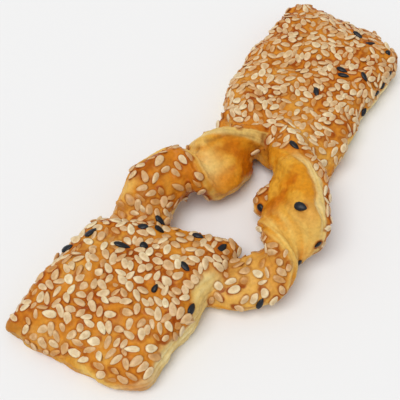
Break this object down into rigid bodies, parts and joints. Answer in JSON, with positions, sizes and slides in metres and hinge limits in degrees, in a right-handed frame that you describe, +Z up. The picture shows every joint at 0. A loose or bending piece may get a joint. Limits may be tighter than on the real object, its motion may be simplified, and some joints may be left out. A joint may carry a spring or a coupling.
{
  "type": "puff pastry stick",
  "caption": "Sesame puff pastry stick: a seeded strip slit and pulled through itself, with flat seeded ends joined by twisted bands round a teardrop hole.",
  "frame": {"origin": "middle of the stick's box seen from above, at the level of the surface it lies on", "axes": "+X along the stick from the near plate to the far plate, +Y to the left seen that way, +Z up out of the seeded face"},
  "size_m": [0.152, 0.0586, 0.0201],
  "materials": {
    "crust": "baked egg-washed crust with sesame seeds, satin"
  },
  "bodies": {
    "root": {"pastry": "crust"}
  },
  "joints": []
}
